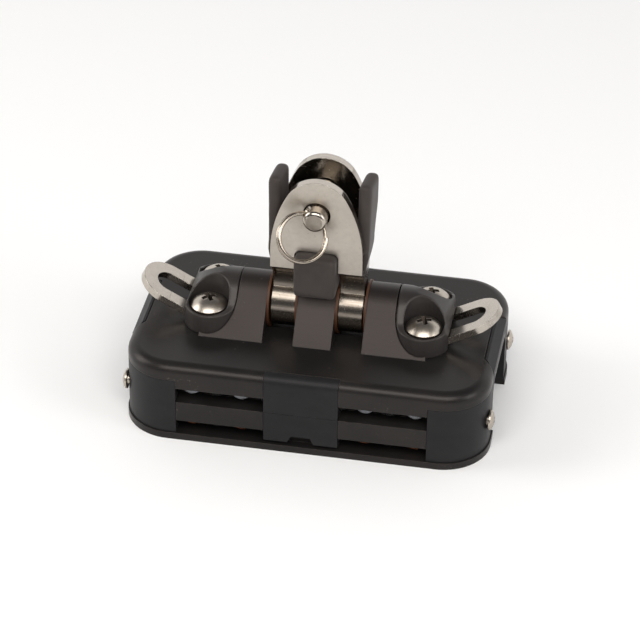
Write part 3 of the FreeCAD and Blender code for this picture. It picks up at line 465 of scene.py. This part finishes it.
def steelFinish(name, settings):
    # stainless steel with fine grinding lines, small scratches and smudges
    finish = newFinish(name)
    rounded = finish.softNormal(settings["edgeRadius"])
    lines = finish.noise(
        settings["linesPerMetre"], *steel["lineDetail"], finish.stretched(*settings["stretch"]))
    smudge = (finish.noise(*steel["smudge"]) * steel["smudgeShare"]
              + finish.noise(*steel["smear"]) * steel["smearShare"])
    pits = finish.between(finish.noise(*steel["pits"]), *steel["pitSpan"])
    scratchWay = finish.stretched(*steel["scratchStretch"], steel["scratchTurn"])
    scratches = finish.between(
        finish.noise(*steel["scratches"], scratchWay), *steel["scratchSpan"])
    base = finish.blend(
        finish.between(smudge, *steel["smudgeSpan"]), settings["bright"], settings["dull"])
    colour = finish.blend(
        pits * steel["pitDark"] + scratches * steel["scratchDark"], base, settings["markAndShade"])
    roughness = (settings["roughness"] + lines * settings["lineRoughness"]
                 + smudge * steel["smudgeRoughness"] + scratches * steel["scratchRoughness"])
    if "satinFrom" in settings:
        # the flat outer faces, square to Y and this far out, are brushed to a satin
        far = settings["satinFrom"]
        square = finish.dot(finish.facing(), (0, 1, 0))
        across = finish.along("Y")
        outside = finish.between(
            across * across, (far - steel["outsideWithin"]) ** 2, far ** 2)
        satin = finish.between(square * square, *steel["squareSpan"]) * outside
        roughness = roughness + satin * settings["satinRoughness"]
        colour = finish.blend(satin * settings["satinDull"], colour, settings["markAndShade"])
    if "paintedRecessShade" in settings:
        # painted shade: the marked faces inside the cross recess are darkened towards the dark
        # mark colour
        recess = finish.node("ShaderNodeAttribute", {"attribute_name": "recess"}, None, "Fac")
        colour = finish.blend(recess * settings["paintedRecessShade"], colour, settings["markAndShade"])
        roughness = roughness + recess * steel["recessRoughness"]
    if "paintedShade" in settings:
        # painted shade: the barrels and the yoke between the plates are darkened in colour as if
        # the plates shaded them, the shade streaked with fine turning lines
        lines = finish.noise(*steel["turning"], finish.stretched(*steel["turningStretch"]))
        least, more = steel["turningShare"]
        low = 1 - finish.between(finish.along("Z"), *settings["paintedShadeSpan"])
        paintedShade = low * (1 - outside) * (least + lines * more)
        colour = finish.blend(paintedShade, colour, settings["paintedShade"])
        roughness = roughness + paintedShade * settings["paintedShadeRoughness"]
    relief = (lines * steel["lineRelief"] - pits * steel["pitRelief"]
              - scratches * steel["scratchRelief"])
    return finish.surface(**{
        "Base Color": colour, "Metallic": 1, "Roughness": roughness,
        "Normal": finish.bump(relief, settings["lineDepth"], rounded)})


rubber = {
    "dark": (0.0360, 0.0298, 0.0275), "light": (0.056, 0.0468, 0.0430),
    # the edges are lightened as a painted highlight
    "edgeRadius": 0.0006, "edgeFull": 0.5, "paintedEdgeHighlight": 0.3,
    "bloom": (90, 4, 0.6), "bloomSpan": (0.3, 0.75), "bloomLight": 0.7, "bloomRoughness": 0.12,
    "grain": (3600, 3, 0.65), "grainDepth": 0.000012, "grainRoughness": 0.08,
    "specks": (2100, 2), "speckSpan": (0.70, 0.75), "speckLight": 0.2,
    "roughness": 0.42, "gloss": 0.26, "tint": (1.0, 0.92, 0.88),
    "sheen": 0.06, "sheenRoughness": 0.5,
}


def rubberFinish(name, settings):
    # dark grey-brown rubber, matt, with a bloom, a little dust and a painted highlight along the
    # rounded edges
    finish = newFinish(name)
    rounded = finish.softNormal(settings["edgeRadius"])
    edge = finish.edgeMask(rounded, settings["edgeFull"])
    bloom = finish.noise(*settings["bloom"])
    grain = finish.noise(*settings["grain"])
    specks = finish.between(finish.noise(*settings["specks"]), *settings["speckSpan"])
    # the bloom and the specks are the rubber's own; the lighter edges are a painted highlight
    lightness = (
        finish.between(bloom, *settings["bloomSpan"]) * settings["bloomLight"]
        + edge * settings["paintedEdgeHighlight"] + specks * settings["speckLight"])
    return finish.surface(**{
        "Base Color": finish.blend(lightness, settings["dark"], settings["light"]),
        "Roughness": (settings["roughness"] + bloom * settings["bloomRoughness"]
                      + grain * settings["grainRoughness"]),
        "Specular IOR Level": settings["gloss"], "Specular Tint": settings["tint"],
        "Sheen Weight": settings["sheen"], "Sheen Roughness": settings["sheenRoughness"],
        "Normal": finish.bump(grain, settings["grainDepth"], rounded)})


ball = {
    "mottle": (520, 3), "mottleSpan": (0.3, 0.75), "mottleShare": 0.6, "mottleRelief": 0.4,
    "haze": (180, 3), "hazeRoughness": 0.10,
    "marks": (2400, 1, 0.5), "markStretch": (0.25, 1, 1), "markSpan": (0.66, 0.72),
    "markShare": 0.25, "markRoughness": 0.12, "markRelief": 0.5,
    "roughness": 0.16, "depth": 0.000004,
    # each colour clean and greased; the white is a grey with painted shade, as the white balls
    # lie shaded in the windows
    "white": ((0.36, 0.375, 0.41), (0.24, 0.245, 0.255)),
    "orange": ((0.12, 0.046, 0.022), (0.075, 0.030, 0.016)),
    "black": ((0.018, 0.018, 0.018), (0.035, 0.034, 0.033)),
}


def ballFinish(colour, settings):
    # polished ball with faint mottling and running marks
    finish = newFinish(colour + "Ball")
    mottle = finish.noise(*settings["mottle"])
    haze = finish.noise(*settings["haze"])
    marks = finish.between(
        finish.noise(*settings["marks"], finish.stretched(*settings["markStretch"])),
        *settings["markSpan"])
    grease = (finish.between(mottle, *settings["mottleSpan"]) * settings["mottleShare"]
              + marks * settings["markShare"])
    relief = mottle * settings["mottleRelief"] - marks * settings["markRelief"]
    return finish.surface(**{
        "Base Color": finish.blend(grease, *settings[colour]),
        "Roughness": (settings["roughness"] + haze * settings["hazeRoughness"]
                      + marks * settings["markRoughness"]),
        "Normal": finish.bump(relief, settings["depth"])})


finishes = {
    "anodised_aluminium": anodisedFinish("satinBlackAnodising", anodising),
    "black_plastic": mouldedFinish("mouldedBlackPlastic", blackPlastic),
    "block_plastic": mouldedFinish("mouldedBlockPlastic", blockPlastic),
    "insert_rubber": rubberFinish("darkRubber", rubber),
    "polished_stainless": steelFinish("polishedStainless", polishedStainless),
    "satin_stainless": steelFinish("satinStainless", satinStainless),
    "washer_polymer": mouldedFinish("washerPolymer", washerPolymer),
    "white_ball": ballFinish("white", ball),
    "orange_ball": ballFinish("orange", ball),
    "black_ball": ballFinish("black", ball),
}
nodeFinishes = {
    "toggle": steelFinish("polishedToggle", polishedToggle),
    "split_ring": steelFinish("springWire", springWire),
}
print("finishes made:", len(finishes) + len(nodeFinishes))

slotOf = {part["node"]: part["material_slot"] for part in frame["record"]["subparts"]}
for name, node in nodes.items():
    node.data.materials.clear()
    node.data.materials.append(nodeFinishes.get(name) or finishes[slotOf[name]])


def addPiece(piece, body, slot, replaced, finish=None):
    piece.data.materials.clear()
    piece.data.materials.append(finish or finishes[slot])
    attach(piece, body)
    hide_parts(replaced)


# moulded pieces with softened edges

softMoulding = {
    "mergeWithin": 0.000001, "smoothing": 0.5, "smoothAngle": 60,
    "kept": 0.35,  # share of the faces that stay
    "pieces": {
        # node: name, body, slot, size of a voxel, rounds of smoothing
        "end_block_right": ("softEndBlockRight", "car", "block_plastic", 0.00016, 16),
        "end_block_left": ("softEndBlockLeft", "car", "block_plastic", 0.00016, 16),
        "standup_insert": ("softInsert", "toggle", "insert_rubber", 0.00020, 60),
    },
}
insertFins = {
    "beyond": 0.0095,  # the fins lie further out than this
    "foot": 0.048, "free": 0.062, "rounds": 120,  # rounder from the foot up
    "lean": 0.10, "front": 0.0046,  # towards +X further back, from the front edge
    "footEnd": 0.0465, "stretch": 2.6, "taper": 0.0009,  # of the feet, below the foot
}


def lengthenFeet(insert, settings):
    # the fins' feet reach down over the ends of the clevis and taper
    for vertex in insert.data.vertices:
        place = vertex.co
        depth = settings["foot"] - place.z
        if abs(place.x) > settings["beyond"] and depth > 0:
            place.z -= depth * settings["stretch"]
            share = depth / (settings["foot"] - settings["footEnd"])
            place.x -= math.copysign(settings["taper"] * share, place.x)


def softenFins(insert, settings):
    # the fins are rounder than the rest, and lean a little, free of the foot
    group = insert.vertex_groups.new(name="fins")
    for vertex in insert.data.vertices:
        place = vertex.co
        freedom = (place.z - settings["foot"]) / (settings["free"] - settings["foot"])
        if abs(place.x) > settings["beyond"] and freedom > 0:
            freedom = min(1, freedom)
            group.add([vertex.index], freedom, "REPLACE")
            place.x += settings["lean"] * (place.y + settings["front"]) * freedom
    applyModifier(insert, "SMOOTH", factor=softMoulding["smoothing"],
                  iterations=settings["rounds"], vertex_group=group.name)


def softenedCopy(node, name, voxel, rounds, settings):
    twin = copyOf(nodes[node])
    place = twin.matrix_world.copy()
    twin.parent = None
    twin.matrix_world = place
    applyPlace(twin)
    editAll(twin)
    bpy.ops.mesh.remove_doubles(threshold=settings["mergeWithin"])
    bpy.ops.object.mode_set(mode="OBJECT")
    applyModifier(twin, "REMESH", mode="VOXEL", voxel_size=voxel)
    applyModifier(twin, "SMOOTH", factor=settings["smoothing"], iterations=rounds)
    if node == "standup_insert":
        lengthenFeet(twin, insertFins)
        softenFins(twin, insertFins)
    applyModifier(twin, "DECIMATE", ratio=settings["kept"])
    smoothByAngle(twin, settings["smoothAngle"])
    return named(twin, name)


for node, (name, body, slot, voxel, rounds) in softMoulding["pieces"].items():
    addPiece(softenedCopy(node, name, voxel, rounds, softMoulding), body, slot, node)
print("moulded pieces softened:", len(softMoulding["pieces"]))

# clevis pin with a rounded nose

nosePin = {
    "axisHeight": 0.0623, "radius": 0.0032, "sides": 96,
    "headStart": 0.0079, "headRadius": 0.0050, "headThickness": 0.0020, "headRound": 0.0004,
    "shoulderStart": 0.0107, "shoulderEnd": 0.01195, "shoulderSteps": 9,
    "nose": 0.0122, "tipRadius": 0.0018,
    "crown": ((0.75, 0.45), (0.45, 0.80), (0.15, 0.98)),  # shares of the tip's radius and rise
    "holeDepth": 0.0093, "holeTurn": 127.6, "holeRadius": 0.00085, "holeSides": 48,
    "mouthRadius": 0.00182, "holeReach": 0.0036, "overlap": 0.0003,  # the cross hole's flare
    "bevel": 0.00012, "bevelAngle": 40, "smoothAngle": 30,
}
turnedPinSteel = {
    "bright": (0.50, 0.45, 0.39), "dull": (0.40, 0.36, 0.31), "markAndShade": (0.15, 0.125, 0.105),
    "roughness": 0.15, "lineRoughness": 0.08, "lineDepth": 0.000001, "edgeRadius": 0.0001,
    "linesPerMetre": 2400, "stretch": (1, 0.15, 1),
    "satinFrom": 0.0119, "satinRoughness": 0.30, "satinDull": 0.45,
}


def lathe(stations, sides):
    # a closed turned piece, upright, from its (height, radius) stations
    height, radius = stations[0]
    piece = addDisc(sides, radius, height)
    applyPlace(piece)
    editAll(piece)
    for nextHeight, nextRadius in stations[1:]:
        raiseFace(nextHeight - height, nextRadius / radius)
        height, radius = nextHeight, nextRadius
    closeEdit()
    return piece


def pinStations(settings):
    # head, shank, elliptical shoulder and a shallow crown over the tip
    radius, tip = settings["radius"], settings["tipRadius"]
    head, edge = settings["headRadius"], settings["headRound"]
    top = -settings["headStart"]
    low = top - settings["headThickness"]
    start, end = settings["shoulderStart"], settings["shoulderEnd"]
    stations = [
        (low, head - edge), (low + edge, head), (top, head), (top, radius), (0.0, radius),
        (start, radius)]
    for step in range(1, settings["shoulderSteps"] + 1):
        angle = math.radians(90 * step / settings["shoulderSteps"])
        stations.append((
            start + (end - start) * math.sin(angle), tip + (radius - tip) * math.cos(angle)))
    for share, rise in settings["crown"]:
        stations.append((end + (settings["nose"] - end) * rise, tip * share))
    return stations


def makeNosePin(settings):
    pin = named(lathe(pinStations(settings), settings["sides"]), "clevisPin")
    pin.rotation_euler = (math.pi / 2, 0, 0)
    pin.location = (0, 0, settings["axisHeight"])
    applyPlace(pin)
    # each half of the hole starts beyond the pin's axis, so that no skin is left between them
    depth = settings["holeReach"] + settings["overlap"]
    reach = settings["holeReach"] - depth / 2
    for turn in (settings["holeTurn"], settings["holeTurn"] + 180):
        angle = math.radians(turn)
        deselectAll()
        bpy.ops.mesh.primitive_cone_add(
            vertices=settings["holeSides"], radius1=settings["holeRadius"],
            radius2=settings["mouthRadius"], depth=depth, rotation=(0, angle, 0),
            location=(reach * math.sin(angle), -settings["holeDepth"],
                      settings["axisHeight"] + reach * math.cos(angle)))
        cutter = bpy.context.object
        applyPlace(cutter)
        cutAway(pin, cutter)
    bevelEdges(pin, settings["bevel"], settings["bevelAngle"])
    smoothByAngle(pin, settings["smoothAngle"])
    return pin


addPiece(makeNosePin(nosePin), "clevis_pin", "satin_stainless", "clevis_pin",
         finish=steelFinish("turnedPinSteel", turnedPinSteel))
print("clevis pin made")

# screws with a cross recess

blockScrew = {
    "headRadius": 0.00495, "rim": 0.0010, "headHeight": 0.0034, "steps": 8,
    "shankRadius": 0.0025, "shankLength": 0.0100,
    "wingReach": 0.0022, "wingWidth": 0.00064,  # half the cross, half a wing's width
    "recessDepth": 0.0021,
    "skin": 0.00008,  # faces of the recess that get the painted shade lie this far under the dome
    "place": (0.0295, 0.0071, 0.0289), "rightTurn": (0, 0, 20), "leftTurn": (0, 0, 35),
}
capScrew = {
    "headRadius": 0.0028, "rim": 0.0005, "headHeight": 0.0015, "steps": 6,
    "shankRadius": 0.0015, "shankLength": 0.02395,
    "wingReach": 0.0012, "wingWidth": 0.00032, "recessDepth": 0.0008, "skin": 0.00006,
    "place": (0.0496, 0.0191, 0.0105), "rightTurn": (0, 90, 0), "leftTurn": (0, -90, 0),
}
allScrews = {
    "sides": 64, "cutterOver": 1.2, "wingFoot": (0.45, 0.7), "bevel": 0.00007,
    "bevelAngle": 50, "smoothAngle": 28,
}
screwSteel = {
    # the mark colour here is dark, as it also paints the shade inside the cross recess
    "bright": (0.52, 0.465, 0.40), "dull": (0.41, 0.365, 0.31), "markAndShade": (0.050, 0.040, 0.033),
    "roughness": 0.24, "lineRoughness": 0.10, "lineDepth": 0.000002, "edgeRadius": 0.00012,
    "linesPerMetre": 3000, "stretch": (1, 1, 1), "paintedRecessShade": 1.0,
}


def crossWing(settings, turn):
    # one wing of the cross, narrowing to its foot
    height, depth = settings["headHeight"], settings["recessDepth"]
    footLength, footWidth = allScrews["wingFoot"]
    deselectAll()
    bpy.ops.mesh.primitive_cube_add(size=1, location=(0, 0, height - depth / 2))
    wing = bpy.context.object
    wing.scale = (2 * settings["wingReach"], 2 * settings["wingWidth"],
                  depth * allScrews["cutterOver"])
    applyPlace(wing)
    editFacesFacing(wing, (0, 0, -1))
    bpy.ops.transform.resize(
        value=(footLength, footWidth, 1), center_override=(0, 0, height - depth))
    bpy.ops.object.mode_set(mode="OBJECT")
    wing.rotation_euler.z = math.radians(turn)
    applyPlace(wing)
    return wing


def markRecess(screw, settings, sphere):
    # faces below the dome are marked so that the finish can paint shade on them
    marks = screw.data.attributes.new("recess", "FLOAT", "FACE")
    for face, markAndShade in zip(screw.data.polygons, marks.data):
        place = face.center
        reach = math.hypot(place.x, place.y)
        crown = (settings["headHeight"] - sphere
                 + math.sqrt(sphere ** 2 - min(reach, sphere) ** 2))
        inside = reach < settings["wingReach"] and 0 < place.z < crown - settings["skin"]
        markAndShade.value = 1.0 if inside else 0.0


def panScrew(settings):
    # upright at the origin, the underside of the head at height 0
    reach, level = settings["headRadius"], settings["rim"]
    screw = addDisc(allScrews["sides"], settings["shankRadius"], -settings["shankLength"])
    editAll(screw)
    raiseFace(settings["shankLength"])
    raiseFace(0, reach / settings["shankRadius"])
    raiseFace(level)
    dome = settings["headHeight"] - level
    sphere = (reach ** 2 + dome ** 2) / (2 * dome)
    spread = math.asin(reach / sphere)
    for step in range(1, settings["steps"]):
        angle = spread * (1 - step / settings["steps"])
        newReach = sphere * math.sin(angle)
        newLevel = settings["headHeight"] - sphere * (1 - math.cos(angle))
        raiseFace(newLevel - level, newReach / reach)
        reach, level = newReach, newLevel
    closeEdit()
    applyPlace(screw)
    for wing in [crossWing(settings, turn) for turn in (0, 90)]:
        cutAway(screw, wing)
    bevelEdges(screw, allScrews["bevel"], allScrews["bevelAngle"])
    markRecess(screw, settings, sphere)
    return screw


def fourScrews(name, settings):
    # one at each corner of the car, right pair first
    master = panScrew(settings)
    x, y, z = settings["place"]
    copies = []
    for side, turn in ((1, settings["rightTurn"]), (-1, settings["leftTurn"])):
        for row in (-1, 1):
            screw = copyOf(master)
            screw.rotation_euler = [math.radians(angle) for angle in turn]
            screw.location = (side * x, row * y, z)
            applyPlace(screw)
            copies.append(screw)
    bpy.data.objects.remove(master)
    joined = named(joinPieces(copies), name)
    smoothByAngle(joined, allScrews["smoothAngle"])
    return joined


screwFinish = steelFinish("screwSteel", screwSteel)
for name, settings, replaced in (("panHeadScrews", blockScrew, "block_screws"),
                                 ("capHeadScrews", capScrew, "cap_screws")):
    addPiece(fourScrews(name, settings), "car", "satin_stainless", replaced, finish=screwFinish)
print("screws made")

# floor, light and sky

studio = {
    "floor": (0.985, 0.985, 0.985), "floorSize": 6, "floorRoughness": 0.75,
    "fibre": (900, 4), "fibreDepth": 0.00002,
    "horizon": (1.0, 1.0, 1.0), "zenith": (0.10, 0.10, 0.105), "strength": 1.07,
    "overhead": (0.60, 0.76), "inFront": (-0.05, -0.55),  # where the sky turns dim
    "aim": (0, 0, 0.03),
    "lights": [
        # name, place, size, power in watts, colour
        ("frontBox", (0.10, -0.85, 1.00), (1.3, 0.60), 13.0, (1.0, 0.975, 0.94)),
        ("leftBox", (-1.05, -0.15, 0.50), (0.5, 0.8), 5.0, (1.0, 0.985, 0.96)),
        ("rightBox", (1.05, -0.35, 0.50), (0.5, 0.6), 3.5, (0.98, 0.985, 1.0)),
    ],
}


def paintSky(settings):
    # bright behind the car and at its sides, dim overhead and in front
    world = bpy.data.worlds.new("studioWorld")
    bpy.context.scene.world = world
    sky = Finish(world, "Generated")
    dim = sky.node("ShaderNodeMath", {"operation": "MAXIMUM"}, {
        0: sky.between(sky.along("Z"), *settings["overhead"]),
        1: sky.between(sky.along("Y"), *settings["inFront"])})
    glow = sky.node("ShaderNodeBackground", None, {
        "Color": sky.blend(dim, settings["horizon"], settings["zenith"]),
        "Strength": settings["strength"]})
    sky.node("ShaderNodeOutputWorld", None, {"Surface": glow})


def layFloor(settings):
    deselectAll()
    bpy.ops.mesh.primitive_plane_add(size=settings["floorSize"])
    floor = bpy.context.object
    floor.name = "paleFloor"
    paper = newFinish("palePaper")
    fibre = paper.noise(*settings["fibre"])
    floor.data.materials.append(paper.surface(**{
        "Base Color": settings["floor"], "Roughness": settings["floorRoughness"],
        "Normal": paper.bump(fibre, settings["fibreDepth"])}))


def hangLights(settings):
    for name, place, size, power, colour in settings["lights"]:
        bpy.ops.object.light_add(type="AREA", location=place)
        light = bpy.context.object
        light.name = name
        light.data.shape = "RECTANGLE"
        light.data.size, light.data.size_y = size
        light.data.energy = power
        light.data.color = colour
        aim = Vector(settings["aim"]) - Vector(place)
        light.rotation_euler = aim.to_track_quat("-Z", "Y").to_euler()


layFloor(studio)
paintSky(studio)
hangLights(studio)
bpy.context.scene.view_settings.view_transform = "Standard"
print("studio made")
